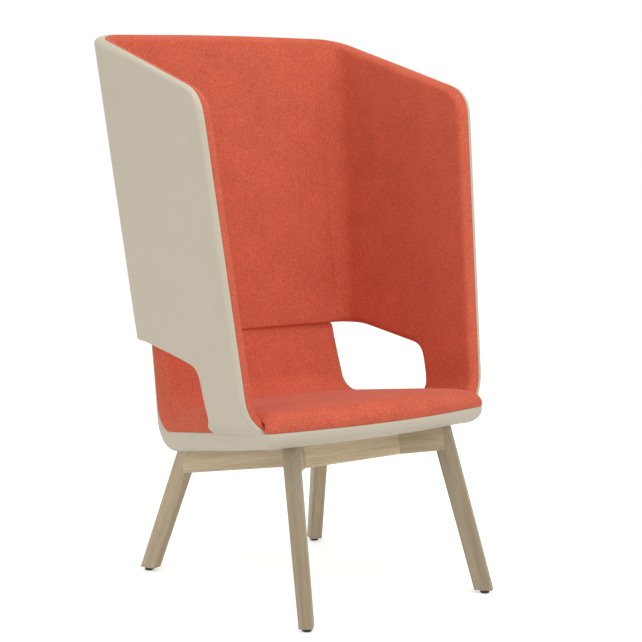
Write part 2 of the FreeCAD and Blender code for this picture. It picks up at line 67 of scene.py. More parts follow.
def new_look(name, roughness, **constant):
    """Material with a Principled shader whose plain values are set on its own sockets. Gives the
    material, its tree, the shader's inputs and the object coordinates."""
    look = bpy.data.materials.new(name)
    look.use_nodes = True
    tree = look.node_tree
    shader = tree.nodes["Principled BSDF"].inputs
    shader["Roughness"].default_value = roughness
    for socket, value in constant.items():
        shader[socket.replace("_", " ")].default_value = value
    place = tree.nodes.new("ShaderNodeTexCoord").outputs["Object"]
    return look, tree, shader, place


def new_group(name, inputs, outputs):
    """Shader node group with named sockets, each of a kind. Gives its tree, what comes into it
    and what goes out of it."""
    tree = bpy.data.node_groups.new(name, "ShaderNodeTree")
    for way, sockets in (("INPUT", inputs), ("OUTPUT", outputs)):
        for label, kind in sockets.items():
            tree.interface.new_socket(name=label, in_out=way, socket_type="NodeSocket" + kind)
    return tree, tree.nodes.new("NodeGroupInput").outputs, tree.nodes.new("NodeGroupOutput").inputs


def node(tree, kind, **values):
    """Node with its named sockets and properties set. An output given to a socket is linked."""
    made = tree.nodes.new(kind)
    for key, value in values.items():
        if isinstance(value, bpy.types.NodeSocket):
            tree.links.new(value, made.inputs[key])
        elif key in made.inputs:
            made.inputs[key].default_value = value
        else:
            setattr(made, key, value)
    return made


def noise(tree, place, scale, detail, roughness):
    """Value of a noise texture at a place."""
    made = node(tree, "ShaderNodeTexNoise", Vector=place, Scale=scale, Detail=detail, Roughness=roughness)
    return made.outputs["Fac"]


def ramp(tree, value, stops):
    """Colour that a value picks from (place, colour) stops, in a straight line between them."""
    made = node(tree, "ShaderNodeValToRGB", Fac=value)
    elements = made.color_ramp.elements
    while len(elements) < len(stops):
        elements.new(0.5)
    for element, (place, colour) in zip(elements, stops):
        element.position = place
        element.color = (*colour, 1.0)
    return made.outputs["Color"]


def mixed(tree, share, first, second, kind="MIX"):
    """Mix of two colours by a share, plain or multiplied."""
    made = node(tree, "ShaderNodeMix", data_type="RGBA", blend_type=kind, Factor=share)
    for socket, value in ((made.inputs[6], first), (made.inputs[7], second)):
        if isinstance(value, bpy.types.NodeSocket):
            tree.links.new(value, socket)
        else:
            socket.default_value = (*value, 1.0)
    return made.outputs[2]


def bumped(tree, height, strength, distance, **under):
    """Normal bumped by a height, over an earlier normal where one is given."""
    made = node(tree, "ShaderNodeBump", Height=height, Strength=strength, Distance=distance, **under)
    return made.outputs["Normal"]


def oak_grain_group():
    """Group that gives the look of oak at a place on a board whose grain runs along z: growth
    bands, streaks and pores, three noises drawn out along z. The factor scales the colour as painted light
    or painted shade."""
    tree, given, result = new_group("oak_grain", {"Vector": "Vector", "Tone": "Float"},
                                    {"Color": "Color", "Roughness": "Float", "Normal": "Vector"})
    drawn = node(tree, "ShaderNodeMapping", Vector=given["Vector"],
                 Scale=(1, 1, OAK_GRAIN_STRETCH)).outputs[0]
    band = noise(tree, drawn, scale=60.0, detail=3.0, roughness=0.5)
    streak = noise(tree, drawn, scale=320.0, detail=3.0, roughness=0.65)
    pore = noise(tree, drawn, scale=900.0, detail=2.0, roughness=0.6)
    growth = ramp(tree, band, [(0.30, OAK_DARK), (0.50, OAK_MIDDLE), (0.70, OAK_LIGHT)])
    # Painted light and shade: the growth colour is scaled by the piece's painted light factor.
    light_painted = node(tree, "ShaderNodeVectorMath", operation="SCALE", Vector=growth, Scale=given["Tone"])
    fine = ramp(tree, streak, [(0.32, (0.88, 0.86, 0.83)), (0.60, (1.03, 1.03, 1.03))])
    streaked = mixed(tree, 1.0, light_painted.outputs[0], fine, "MULTIPLY")
    dark = ramp(tree, pore, [(0.30, (0.80, 0.77, 0.72)), (0.42, (1.0, 1.0, 1.0))])
    pored = mixed(tree, 0.6, streaked, mixed(tree, 1.0, streaked, dark, "MULTIPLY"))
    tree.links.new(pored, result["Color"])
    roughness = ramp(tree, streak, [(0.3, (0.56,) * 3), (0.7, (0.46,) * 3)])
    tree.links.new(roughness, result["Roughness"])
    ridged = bumped(tree, streak, strength=0.15, distance=0.0003)
    normal = bumped(tree, pore, strength=0.2, distance=0.0002, Normal=ridged)
    tree.links.new(normal, result["Normal"])
    return tree


oak_grain = oak_grain_group()


def use_group(tree, group, shader, **values):
    """Group in a material, with its roughness and normal led to the shader. Gives its outputs."""
    made = node(tree, "ShaderNodeGroup", node_tree=group, **values)
    tree.links.new(made.outputs["Roughness"], shader["Roughness"])
    tree.links.new(made.outputs["Normal"], shader["Normal"])
    return made.outputs


def oak(name, direction, painted_light):
    """Pale oak whose grain runs along a direction, its colour scaled by painted light or painted shade."""
    look, tree, shader, place = new_look("oak_" + name, roughness=0.5, Specular_IOR_Level=0.3)
    turn = Vector(direction).normalized().rotation_difference(Vector((0, 0, 1))).to_euler()
    turned = node(tree, "ShaderNodeMapping", Vector=place, Rotation=turn).outputs[0]
    grain = use_group(tree, oak_grain, shader, Vector=turned, Tone=painted_light)
    tree.links.new(grain["Color"], shader["Base Color"])
    return look


def finished(name, look):
    """Give a solid that is kept from the frame its finish."""
    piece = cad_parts[name]
    piece.data.materials.clear()
    piece.data.materials.append(look)


def oak_arm(name, side, turn, forward, painted_light):
    """Oak for an arm that runs along the seat's underside, turned from straight ahead or back, with painted
    light in its colour.
    """
    ahead = forward * math.cos(turn)
    finished(name, oak(name, (-side * math.sin(turn), ahead, -ARM_SLOPE * ahead), painted_light))


# Each leg and arm gets its own painted light or painted shade factor in its oak colour.
for label, side in (("left", -1), ("right", 1)):
    for end, (inward_lean, back_lean), painted_light in (("front", FRONT_LEG_LEAN, FRONT_LEG_PAINTED_SHADE),
                                                ("rear", REAR_LEG_LEAN, REAR_LEG_PAINTED_LIGHT)):
        leg = "leg_%s_%s" % (end, label)
        finished(leg, oak(leg, (-side * inward_lean, back_lean, 1.0), painted_light))
    oak_arm("arm_front_" + label, side, FRONT_ARM_TURN, 1, FRONT_ARM_PAINTED_LIGHT)
    oak_arm("arm_rear_" + label, side, REAR_ARM_TURN, -1, REAR_ARM_PAINTED_LIGHT)
# The stretcher's oak is painted much lighter: painted light where the seat's shade falls on it.
finished("front_stretcher", oak("front_stretcher", (1, 0, 0), STRETCHER_PAINTED_LIGHT))

# Fittings: black plastic glides whose stems are pressed up into the legs, zinc plated bolts and
# straps, and the raw plywood boards and cores that the upholstery hides. All come from the frame.

GRAIN_DARK = 0.85
GRAIN_LIGHT = 1.1
GRAIN_ROUGHER = 0.06


def surface_grain_group():
    """Group for a fine even grain: one noise leads from a dark to a light colour, from a smooth to
    a rough value, and into a bump."""
    tree, given, result = new_group(
        "surface_grain",
        {"Vector": "Vector", "Scale": "Float", "Dark": "Color", "Light": "Color", "Smooth": "Float",
         "Rough": "Float", "Strength": "Float", "Distance": "Float"},
        {"Color": "Color", "Roughness": "Float", "Normal": "Vector"})
    grain = noise(tree, given["Vector"], scale=given["Scale"], detail=3.0, roughness=0.6)
    middle = {"Value": grain, "From Min": 0.3, "From Max": 0.7}
    share = node(tree, "ShaderNodeMapRange", **middle)
    tree.links.new(mixed(tree, share.outputs[0], given["Dark"], given["Light"]), result["Color"])
    limits = {"To Min": given["Smooth"], "To Max": given["Rough"]}
    rough = node(tree, "ShaderNodeMapRange", **middle, **limits)
    tree.links.new(rough.outputs[0], result["Roughness"])
    tree.links.new(bumped(tree, grain, given["Strength"], given["Distance"]), result["Normal"])
    return tree


surface_grain = surface_grain_group()


def fitting(name, colour, roughness, scale, metallic=0.0):
    """Finish of one colour with a little grain in its colour, roughness and surface."""
    look, tree, shader, place = new_look(name, roughness, Metallic=metallic)
    dark = [GRAIN_DARK * part for part in colour]
    light = [GRAIN_LIGHT * part for part in colour]
    grain = use_group(tree, surface_grain, shader, Vector=place, Scale=scale, Dark=(*dark, 1),
                      Light=(*light, 1), Smooth=roughness - GRAIN_ROUGHER,
                      Rough=roughness + GRAIN_ROUGHER, Strength=0.1, Distance=0.0002)
    tree.links.new(grain["Color"], shader["Base Color"])
    return look


glide_black = fitting("glide_plastic", colour=(0.018, 0.018, 0.019), roughness=0.45, scale=300.0)
for name in ("glide_front_left", "glide_front_right", "glide_rear_left", "glide_rear_right"):
    finished(name, glide_black)
zinc = fitting("steel", colour=(0.58, 0.58, 0.57), roughness=0.35, scale=700.0, metallic=1.0)
for name in ("base_bolts", "screen_straps"):
    finished(name, zinc)
plywood = fitting("plywood", colour=(0.60, 0.47, 0.32), roughness=0.6, scale=120.0)
for name in ("seat_board", "back_board", "screen_core_left", "screen_core_right", "screen_core_back"):
    finished(name, plywood)

# Seat cushion: seat and lower back in one bent pad of moulded foam, covered in a red felt of mixed
# wool yarns. It is crowned and falls away in a soft roll in front. Beside each foot of the screen
# it stands back, because the end of the screen's lining lies there.

MM = 0.001
PLANES = {"under": (355.5, ARM_SLOPE), "seam": (401.0, 0.147), "top": (448.4, 0.134)}
BACK_LINES = {"under": (282.0, 0.15), "seam": (273.0, 0.144), "top": (234.4, 0.356)}
BENDS = {"under": 62.0, "seam": 58.0, "top": 65.0}
PROFILE_START = -420.0
BACK_TOP = 600.5
SEAT_HALF = 291.0
SEAT_TAPER = 0.11
BACK_HALF = 272.0
SEAT_FRONT_Y = -360.0
SEAT_CORNER_Y = -304.0
SEAT_CORNER_RADIUS = 12.0
SEAT_NARROW_RADIUS = 200.0
SEAT_FRONT_SHORT = 50.0
SEAT_LINE_STEP = 5.0
SEAT_LINE_PASSES = 4
SEAT_INWARD_PASSES = 80
SEAT_CROWN = 9.0
BACK_HOLLOW = 12.0
CROWN_HALF = 340.0
FRONT_SINK = 13.0
FRONT_SINK_REACH = 110.0
SIDE_SINK = 7.0
SIDE_SINK_REACH = 70.0
SIDE_SINK_START = -60.0
SIDE_SINK_FADE = 160.0
FRONT_DROP = 0.00028
FRONT_DROP_Y = -220.0
SIDE_ROLL = 20.0
FRONT_ROLL = 44.0
FRONT_ROLL_DEPTH = 40.0
FRONT_STRAIGHT_LEFT = 6.0
NEARNESS_START = -140.0
NEARNESS_REACH = 160.0
CUSHION_GROOVE = 2.2
SEAM_LIP_START = 0.9
SEAM_LIP = 2.6
SIDE_FULLNESS = 0.6
TOP_ROLL = 3.0
FOOT_NOTCH = 33.0
FOOT_NOTCH_FRONT = -288.0
FOOT_NOTCH_REAR = -120.0
FOOT_NOTCH_FRONT_FADE = 12.0
FOOT_NOTCH_REAR_FADE = 20.0
PAD_STEP = 9.0
EXTRA_CLEARANCE = 0.6
EDGE_CLEARANCE = 0.45
FLAT_ANGLE = math.radians(1.5)
SKEW_ANGLE = math.radians(25)
SHARP_ANGLE = math.radians(50)
NO_POINTS = np.zeros((0, 2))
RED_DARK = (0.42, 0.055, 0.026)
RED_MIDDLE = (0.590, 0.108, 0.058)
RED_LIGHT = (0.74, 0.210, 0.130)
FLECK_DARK = (0.44, 0.060, 0.030)
FLECK_LIGHT = (0.78, 0.240, 0.155)


def level(plane, y):
    """Height of one of the seat's sloping planes: its height at y = 0 less its slope times y."""
    height, slope = PLANES[plane]
    return height - slope * y


def seat_side(y):
    """Half width of the seat at y: it narrows in a straight line, then stays as the backrest."""
    return np.maximum(SEAT_HALF - SEAT_TAPER * y, BACK_HALF)


def front_edge(x):
    """y of the seat's front edge: a parabola across its width."""
    return SEAT_FRONT_Y + (SEAT_CORNER_Y - SEAT_FRONT_Y) * (x / seat_side(SEAT_CORNER_Y)) ** 2


def nearness_to_front(y):
    """Share that rises in a straight line from 0 at the seat's middle to 1 at its front corners."""
    return np.clip((NEARNESS_START - y) / NEARNESS_REACH, 0, 1)


def bent_profile(layer, rise=0.0, push=0.0):
    """Side profile of a layer: along its seat plane, round an arc and up its backrest line. Gives
    a function of a share from 0 to 3, one unit for each of the three, and their lengths."""
    bend = BENDS[layer]
    slope = PLANES[layer][1]
    height = PLANES[layer][0] + rise
    lean = BACK_LINES[layer][1]
    top_y = BACK_LINES[layer][0] + push
    corner_z = (height - slope * (top_y - lean * BACK_TOP)) / (1 + slope * lean)
    corner = np.array([top_y - lean * (BACK_TOP - corner_z), corner_z])
    start = np.array([PROFILE_START, height - slope * PROFILE_START])
    end = np.array([top_y, BACK_TOP])
    ahead = (corner - start) / np.linalg.norm(corner - start)
    up = (end - corner) / np.linalg.norm(end - corner)
    turn = math.acos(ahead @ up)
    reach = bend * math.tan(turn / 2)
    flat_end = corner - ahead * reach
    back_start = corner + up * reach
    into_bend = np.array([-ahead[1], ahead[0]])
    centre = flat_end + into_bend * bend

    def point(share):
        """Point at each share: on the first line, on the circle's arc or on the second line."""
        share = share[:, None]
        angle = np.clip(share - 1, 0, 1) * turn
        flat = start + (flat_end - start) * np.clip(share, 0, 1)
        arc = centre - into_bend * bend * np.cos(angle) + ahead * bend * np.sin(angle)
        back = back_start + (end - back_start) * np.clip(share - 2, 0, 1)
        return np.where(share <= 1, flat, np.where(share <= 2, arc, back))

    lengths = (np.linalg.norm(flat_end - start), bend * turn, np.linalg.norm(end - back_start))
    return point, lengths


flat_top, TOP_LENGTHS = bent_profile("top")
full_top = bent_profile("top", SEAT_CROWN, BACK_HOLLOW)[0]
seam_profile = bent_profile("seam")[0]
SEAT_END = sum(TOP_LENGTHS)
RUN_PER_Y = math.hypot(1, PLANES["top"][1])


def profile_share(run):
    """Share from 0 to 3 of the profile's three stretches, for a run along the top of the pad."""
    first, second, third = TOP_LENGTHS
    on_flat = np.clip(run / first, 0, 1)
    on_arc = np.clip((run - first) / second, 0, 1)
    on_back = np.clip((run - first - second) / third, 0, 1)
    return on_flat + on_arc + on_back


def pad_top(x, run):
    """Top of the pad: its side profile, crowned and hollowed by a parabola across the width."""
    share = profile_share(run)
    swell = (1 - (x / CROWN_HALF) ** 2)[:, None]
    return flat_top(share) * (1 - swell) + full_top(share) * swell


def between(x, depth, outer, inner):
    """Point between two profiles, at a depth in millimetres from the outer towards the inner.
    Towards its front edge the seat falls away by a square of the distance past a line."""
    apart = np.maximum(np.linalg.norm(inner - outer, axis=1), 1e-6)
    spot = outer + (inner - outer) * np.minimum(depth / apart, 1)[:, None]
    drop = FRONT_DROP * np.maximum(FRONT_DROP_Y - spot[:, 0], 0) ** 2
    return np.stack([x, spot[:, 0], spot[:, 1] - drop], axis=1)


def cushion_place(x, run, depth):
    """Point of the pad at a depth below its top, measured towards the seam under it. Near the
    front edge and the front of the sides the top sinks by a square of the nearness."""
    top = pad_top(x, run)
    seam = seam_profile(profile_share(run))
    full = np.maximum(np.linalg.norm(seam - top, axis=1), 1e-6)
    y = top[:, 0]
    front = np.clip(1 - (y - front_edge(x)) / FRONT_SINK_REACH, 0, 1.2)
    side = np.clip(1 - (seat_side(y) - np.abs(x)) / SIDE_SINK_REACH, 0, 1)
    side = side * np.clip((SIDE_SINK_START - y) / SIDE_SINK_FADE, 0, 1)
    sink = FRONT_SINK * front ** 2 + SIDE_SINK * side ** 2
    return between(x, depth + sink * np.clip(1 - depth / full, 0, 1), top, seam)


def rounded(points, step=4.0):
    """Line through (u, v, radius) points. At each inner point a tangent circle's arc takes the
    corner's place: its centre lies on the corner's bisector, at the radius over the sine of half
    the angle."""
    spots = np.array([point[:2] for point in points], dtype=float)
    radii = [point[2] for point in points[1:-1]]
    line = [spots[:1]]
    for before, here, after, radius in zip(spots, spots[1:], spots[2:], radii):
        back = (before - here) / np.linalg.norm(before - here)
        ahead = (after - here) / np.linalg.norm(after - here)
        half = math.acos(np.clip(back @ ahead, -1, 1)) / 2
        turn = math.pi - 2 * half
        centre = here + (back + ahead) / np.linalg.norm(back + ahead) * radius / math.sin(half)
        start = here + back * radius / math.tan(half) - centre
        across = np.array([-start[1], start[0]])
        sense = np.sign(start[1] * back[0] - start[0] * back[1])
        count = max(3, int(radius * turn / step))
        angle = sense * turn * np.linspace(0, 1, count + 1)[:, None]
        line.append(centre + np.cos(angle) * start + np.sin(angle) * across)
    line.append(spots[-1:])
    return np.vstack(line)


def evenly(loop, step):
    """Closed line resampled so that its points lie about one step apart."""
    closed = np.vstack([loop, loop[:1]])
    keep = np.append(np.hypot(*np.diff(closed, axis=0).T) > 1e-6, True)
    closed = closed[keep]
    spots = np.append(0, np.cumsum(np.hypot(*np.diff(closed, axis=0).T)))
    at = np.linspace(0, spots[-1], int(round(spots[-1] / step)), endpoint=False)
    return np.stack([np.interp(at, spots, closed[:, 0]), np.interp(at, spots, closed[:, 1])], axis=1)


def softly(loop, passes):
    """Closed row of values eased: each goes to the mean of its neighbours and twice itself."""
    for _ in range(passes):
        loop = (np.roll(loop, 1, axis=0) + 2 * loop + np.roll(loop, -1, axis=0)) / 4
    return loop


def inward(loop):
    """Unit normals of a closed anticlockwise line, which point inside: its tangents turned left."""
    tangent = np.roll(loop, -1, axis=0) - np.roll(loop, 1, axis=0)
    tangent /= np.linalg.norm(tangent, axis=1)[:, None]
    return np.stack([-tangent[:, 1], tangent[:, 0]], axis=1)


def inside(points, loop):
    """Which points lie inside a closed line: those whose ray to the right crosses it an odd
    number of times."""
    ax, ay = loop.T
    bx, by = np.roll(loop, -1, axis=0).T
    px, py = points[:, 0:1], points[:, 1:2]
    spans = (ay > py) != (by > py)
    crossing = ax + (py - ay) * (bx - ax) / np.where(by == ay, 1e-9, by - ay)
    return (np.sum(spans & (px < crossing), axis=1) % 2) == 1


def nearest(points, line):
    """Distance from each point to the nearest point of a line, taken in 8 stretches of it."""
    gaps = [np.hypot(points[:, 0:1] - part[:, 0], points[:, 1:2] - part[:, 1]).min(axis=1)
            for part in np.array_split(line, 8)]
    return np.min(gaps, axis=0)


def filled(loop, step, extra):
    """Triangles that fill a closed line with a square grid of points and the extra points. Grid
    points close to the line or to an extra point are left out."""
    low, high = loop.min(axis=0), loop.max(axis=0)
    across = np.arange(low[0] + step / 2, high[0], step)
    up = np.arange(low[1] + step / 2, high[1], step)
    grid = np.stack(np.meshgrid(across, up), axis=-1).reshape(-1, 2)
    if len(extra):
        grid = np.vstack([grid[nearest(grid, extra) > step * EXTRA_CLEARANCE], extra])
    grid = grid[inside(grid, loop)]
    grid = grid[nearest(grid, loop) > step * EDGE_CLEARANCE]
    points = np.vstack([loop, grid])
    edges = list(zip(range(len(loop)), [*range(1, len(loop)), 0]))
    made = geometry.delaunay_2d_cdt(list(map(Vector, points.tolist())), edges, [], 1, 1e-5)
    origin = np.array([source[0] for source in made[3]])
    return points, origin[np.array(made[2])]


def pad_mesh(name, loop, rings, place, step, extra=NO_POINTS, inner=None):
    """Closed pad over a line drawn on its developed surface. Each ring is the line moved in by
    its inset, at its own depth, which place() turns into points of space. The last ring is
    filled at its depth as the face, and the first one as the hidden side."""
    count = len(loop)
    normal = inward(loop) if inner is None else inner
    lines = [loop + normal * np.broadcast_to(inset, count)[:, None] for inset, depth in rings]
    rows = [place(line[:, 0], line[:, 1], np.broadcast_to(depth, count))
            for line, (inset, depth) in zip(lines, rings)]
    points, faces = filled(lines[-1], step, extra)
    middle = points[count:]
    for depth in (rings[-1][1], rings[0][1]):
        rows.append(place(middle[:, 0], middle[:, 1], np.full(len(middle), np.mean(depth))))
    here = np.arange(count)
    ahead = np.roll(here, -1)
    band = np.stack([here, ahead, ahead + count, here + count], axis=1)
    bands = [band + k * count for k in range(len(rings) - 1)]
    last = (len(rings) - 1) * count
    hidden = np.where(faces < count, faces, faces + last + len(middle))[:, ::-1]
    polygons = np.vstack(bands).tolist() + (faces + last).tolist() + hidden.tolist()
    return mesh_object(name, np.vstack(rows), polygons)


def mesh_object(name, verts, polygons):
    """Object from points in millimetres. Flat pairs of triangles are joined, the normals point
    outwards, and only edges past 50 degrees stay sharp."""
    mesh = bpy.data.meshes.new(name)
    mesh.from_pydata((verts * MM).tolist(), [], polygons)
    shape = bmesh.new()
    shape.from_mesh(mesh)
    bmesh.ops.join_triangles(shape, faces=shape.faces, angle_face_threshold=FLAT_ANGLE,
                             angle_shape_threshold=SKEW_ANGLE)
    bmesh.ops.recalc_face_normals(shape, faces=shape.faces)
    shape.to_mesh(mesh)
    shape.free()
    mesh.shade_smooth()
    mesh.set_sharp_from_angle(angle=SHARP_ANGLE)
    piece = bpy.data.objects.new(name, mesh)
    bpy.context.scene.collection.objects.link(piece)
    return piece


def seat_loop():
    """Outline of the seat unit, developed flat: bowed front, round corners, sides that draw in
    along a line and the straight top of the backrest."""
    corner_x = float(seat_side(SEAT_CORNER_Y))
    narrow_y = (SEAT_HALF - BACK_HALF) / SEAT_TAPER
    xs = np.linspace(0, corner_x - SEAT_FRONT_SHORT, 30)
    front = np.stack([xs, (front_edge(xs) - PROFILE_START) * RUN_PER_Y], axis=1)
    side = rounded([(*front[-1], 0),
                    (corner_x, (SEAT_CORNER_Y - PROFILE_START) * RUN_PER_Y, SEAT_CORNER_RADIUS),
                    (BACK_HALF, (narrow_y - PROFILE_START) * RUN_PER_Y, SEAT_NARROW_RADIUS),
                    (BACK_HALF, SEAT_END - 1.0, 0)])
    half = np.vstack([front, side[1:], [(BACK_HALF - 1.0, SEAT_END)]])
    mirrored = half[::-1] * np.array([-1.0, 1.0])
    whole = evenly(np.vstack([half, mirrored[:-1]]), SEAT_LINE_STEP)
    return softly(whole, SEAT_LINE_PASSES)


seat_line = seat_loop()
seat_share = profile_share(seat_line[:, 1])
seat_inward = softly(inward(seat_line), SEAT_INWARD_PASSES)
seat_y = PROFILE_START + seat_line[:, 1] / RUN_PER_Y
at_front = nearness_to_front(seat_y)
at_top = seat_line[:, 1] > SEAT_END - 0.6


def side_rings(full, inset, drop, groove):
    """Rings from the seam out of its groove, up a slightly full side and over a quarter ellipse
    to the face."""
    lip = full - SEAM_LIP
    rings = [(groove, full), (groove * 0.3, full - SEAM_LIP_START), (0.0, lip)]
    for share in (0.35, 0.7):
        rings.append((-SIDE_FULLNESS * math.sin(math.pi * share), lip - (lip - drop) * share))
    for angle in np.linspace(0, math.pi / 2, 11):
        rings.append((inset * (1 - math.cos(angle)), drop * (1 - math.sin(angle))))
    return rings


def cloud_tint_group():
    """Group for wide faint clouds in a cloth's colour: a slow noise between two shades."""
    tree, given, result = new_group(
        "cloud_tint",
        {"Vector": "Vector", "Scale": "Float", "Detail": "Float", "Dark": "Float", "Light": "Float"},
        {"Shade": "Float"})
    cloud = noise(tree, given["Vector"], scale=given["Scale"], detail=given["Detail"], roughness=0.5)
    shade = node(tree, "ShaderNodeMapRange", **{"Value": cloud, "From Min": 0.3, "From Max": 0.7,
                                                "To Min": given["Dark"], "To Max": given["Light"]})
    tree.links.new(shade.outputs[0], result["Shade"])
    return tree


cloud_tint = cloud_tint_group()


def red_felt():
    """Wool felt: yarns of three reds in short flecks, with fine fibres standing in the bump."""
    look, tree, shader, place = new_look("red_felt", roughness=0.92, Specular_IOR_Level=0.08,
                                         Sheen_Weight=0.14, Sheen_Roughness=0.4,
                                         Sheen_Tint=(1.0, 0.80, 0.70, 1))
    fibre = noise(tree, place, scale=620.0, detail=3.0, roughness=0.7)
    fleck = noise(tree, place, scale=400.0, detail=4.0, roughness=0.8)
    yarns = ramp(tree, fibre, [(0.30, RED_DARK), (0.50, RED_MIDDLE), (0.70, RED_LIGHT)])
    flecks = ramp(tree, fleck, [(0.38, FLECK_DARK), (0.50, RED_MIDDLE), (0.62, FLECK_LIGHT)])
    shade = node(tree, "ShaderNodeGroup", node_tree=cloud_tint, Vector=place, Scale=14.0, Detail=2.0,
                 Dark=0.94, Light=1.04).outputs["Shade"]
    colour = mixed(tree, 1.0, mixed(tree, 0.6, yarns, flecks), shade, "MULTIPLY")
    tree.links.new(colour, shader["Base Color"])
    tufted = bumped(tree, fleck, strength=0.35, distance=0.0006)
    normal = bumped(tree, fibre, strength=0.4, distance=0.0004, Normal=tufted)
    tree.links.new(normal, shader["Normal"])
    return look


felt = red_felt()

pad_depth = np.linalg.norm(pad_top(seat_line[:, 0], seat_line[:, 1]) - seam_profile(seat_share), axis=1)
front_depth = np.minimum(pad_depth - FRONT_STRAIGHT_LEFT, FRONT_ROLL_DEPTH)
cushion_inset = np.where(at_top, TOP_ROLL, SIDE_ROLL + (FRONT_ROLL - SIDE_ROLL) * at_front)
cushion_drop = np.where(at_top, TOP_ROLL, SIDE_ROLL + (front_depth - SIDE_ROLL) * at_front)
past_front = np.clip((seat_y - FOOT_NOTCH_FRONT) / FOOT_NOTCH_FRONT_FADE, 0, 1)
before_rear = np.clip((FOOT_NOTCH_REAR - seat_y) / FOOT_NOTCH_REAR_FADE, 0, 1)
notch = FOOT_NOTCH * softly(past_front * before_rear, 3) / pad_depth
cushion_rings = [(np.maximum(inset, notch * depth), depth)
                 for inset, depth in side_rings(pad_depth, cushion_inset, cushion_drop, CUSHION_GROOVE)]
cushion = pad_mesh("seat_cushion_pad", seat_line, cushion_rings, cushion_place, PAD_STEP, inner=seat_inward)
cushion.data.materials.append(felt)
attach(cushion, "root")
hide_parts("seat_cushion")

# Seat shell cover: the beige underside, edge and back of the seat unit, stretched over the boards
# and stapled under them. It meets the cushion in a seam that runs round the sides, and its edge
# rolls under, further towards the front corners.

SHELL_ROLL = 17.0
FRONT_SHELL_ROLL = 50.0
SHELL_EDGE = 9.0
SHELL_GROOVE = 1.4
SHELL_ROLL_SHARE = 0.75
BEIGE = (0.554, 0.500, 0.404)

under_profile = bent_profile("under")[0]


def shell_roll(y):
    """How far in from the side the shell's roll ends: further towards the front."""
    return SHELL_ROLL + (FRONT_SHELL_ROLL - SHELL_ROLL) * nearness_to_front(y)


def shell_place(x, run, depth):
    """Point of the beige shell at a depth above its underside, towards the cushion's seam."""
    share = profile_share(run)
    return between(x, depth, under_profile(share), seam_profile(share))


def beige_cover():
    """Smooth coated upholstery: a close pebble of cells over a fine grain, with faint clouds."""
    look, tree, shader, place = new_look("beige_cover", roughness=0.55, Specular_IOR_Level=0.35)
    grain = use_group(tree, surface_grain, shader, Vector=place, Scale=420.0, Dark=(0.965, 0.965, 0.965, 1),
                      Light=(1.02, 1.02, 1.02, 1), Smooth=0.50, Rough=0.62, Strength=0.15, Distance=0.0003)
    shade = node(tree, "ShaderNodeGroup", node_tree=cloud_tint, Vector=place, Scale=9.0, Detail=3.0,
                 Dark=0.989, Light=1.011).outputs["Shade"]
    colour = mixed(tree, 1.0, mixed(tree, 1.0, BEIGE, shade, "MULTIPLY"), grain["Color"], "MULTIPLY")
    tree.links.new(colour, shader["Base Color"])
    pebble = node(tree, "ShaderNodeTexVoronoi", Vector=place, Scale=900.0).outputs["Distance"]
    normal = bumped(tree, pebble, strength=0.12, distance=0.0003, Normal=grain["Normal"])
    tree.links.new(normal, shader["Normal"])
    return look


beige = beige_cover()

shell_depth = np.linalg.norm(under_profile(seat_share) - seam_profile(seat_share), axis=1)
shell_inset = np.where(at_top, TOP_ROLL, shell_roll(seat_y))
side_drop = np.minimum(SHELL_ROLL, shell_depth * SHELL_ROLL_SHARE)
shell_drop = np.where(at_top, TOP_ROLL, side_drop + (shell_depth - SHELL_EDGE - side_drop) * at_front)
shell_rings = side_rings(shell_depth, shell_inset, shell_drop, SHELL_GROOVE)
shell = pad_mesh("seat_shell_cover", seat_line, shell_rings, shell_place, PAD_STEP, inner=seat_inward)
shell.data.materials.append(beige)
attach(shell, "root")
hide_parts("seat_cover")

# Screen cover: the beige outside of the high wall round the sitter, stretched over foam on a
# plywood core and sewn to the lining round the whole rim. The wings come down in front as posts,
# whose feet draw in to the seat's side and end under its edge.

SIDE_REACH = 291.9
SIDE_FLARE = 0.0757
SIDE_TOE = 0.0761
TOE = math.atan(SIDE_TOE)
BACK_REACH = 157.2
BACK_LEAN = 0.1505
BACK_BOW = 20.0
BOW_RADIUS = 2600.0
CORNER_RADIUS = 70.0
MIDDLE_HEIGHT = 900.0
RIM_MIDDLE = 1239.1
RIM_SLOPE = 0.2776
RIM_GUESS = 1330.0
RIM_RUN_ON = 60.0
SETTLING_PASSES = 30
WING_TIP = (-141.0, 1200.0)
WING_TIP_RADIUS = 65.0
POST_TOP = 640.0
POST_LEAN = 0.27
POST_FRONT_BOTTOM = 395.0
POST_REAR_BOTTOM = 404.0
POST_REAR_TOP = 540.0
WINDOW_FRONT = (-55.0, 564.4)
WINDOW_FRONT_RADIUS = 28.0
WINDOW_REAR = (166.0, 599.0)
WINDOW_REAR_RADIUS = 150.0
FOOT_RISE = 92.0
FOOT_PROUD = 2.2
FOOT_TUCK = 5.7
FOOT_TUCK_START = 6.0
FOOT_TUCK_REACH = 20.0
FOOT_REAR_START = -200.0
FOOT_REAR_FADE = 80.0
FOOT_ROLL_REACH = 33.0
FOOT_ROLL_LIMIT = 0.98
FOOT_FRONT_FLARE = 24.0
FOOT_FRONT_RISE = 36.0
FOOT_REAR_FLARE = 77.0
FOOT_REAR_RISE = 61.0
FOOT_FRONT_END = -26.0
FOOT_REAR_END = 4.0
FOOT_TIGHT_RISE = 50.0
FOOT_TOE = (-272.0, 34.0, 18.0)
FOOT_HEEL = (-24.0, 28.0, 24.0)
COVER_DEPTH = 15.0
COVER_STEP = 7.0
COVER_ROLL = 13.4
COVER_ROLL_TIGHT = 4.0
COVER_EDGE_FLATTER = 6.0
COVER_FACE_START = 13.5
ROLL_START = 1.8
SCREEN_LINE_STEP = 6.0
SCREEN_LINE_PASSES = 8
BACK_EDGE_REACH = 320.0
BACK_EDGE_FADE = 60.0
BACK_EDGE_TOP = 612.0
WINDOW_TIGHT_TOP = 640.0
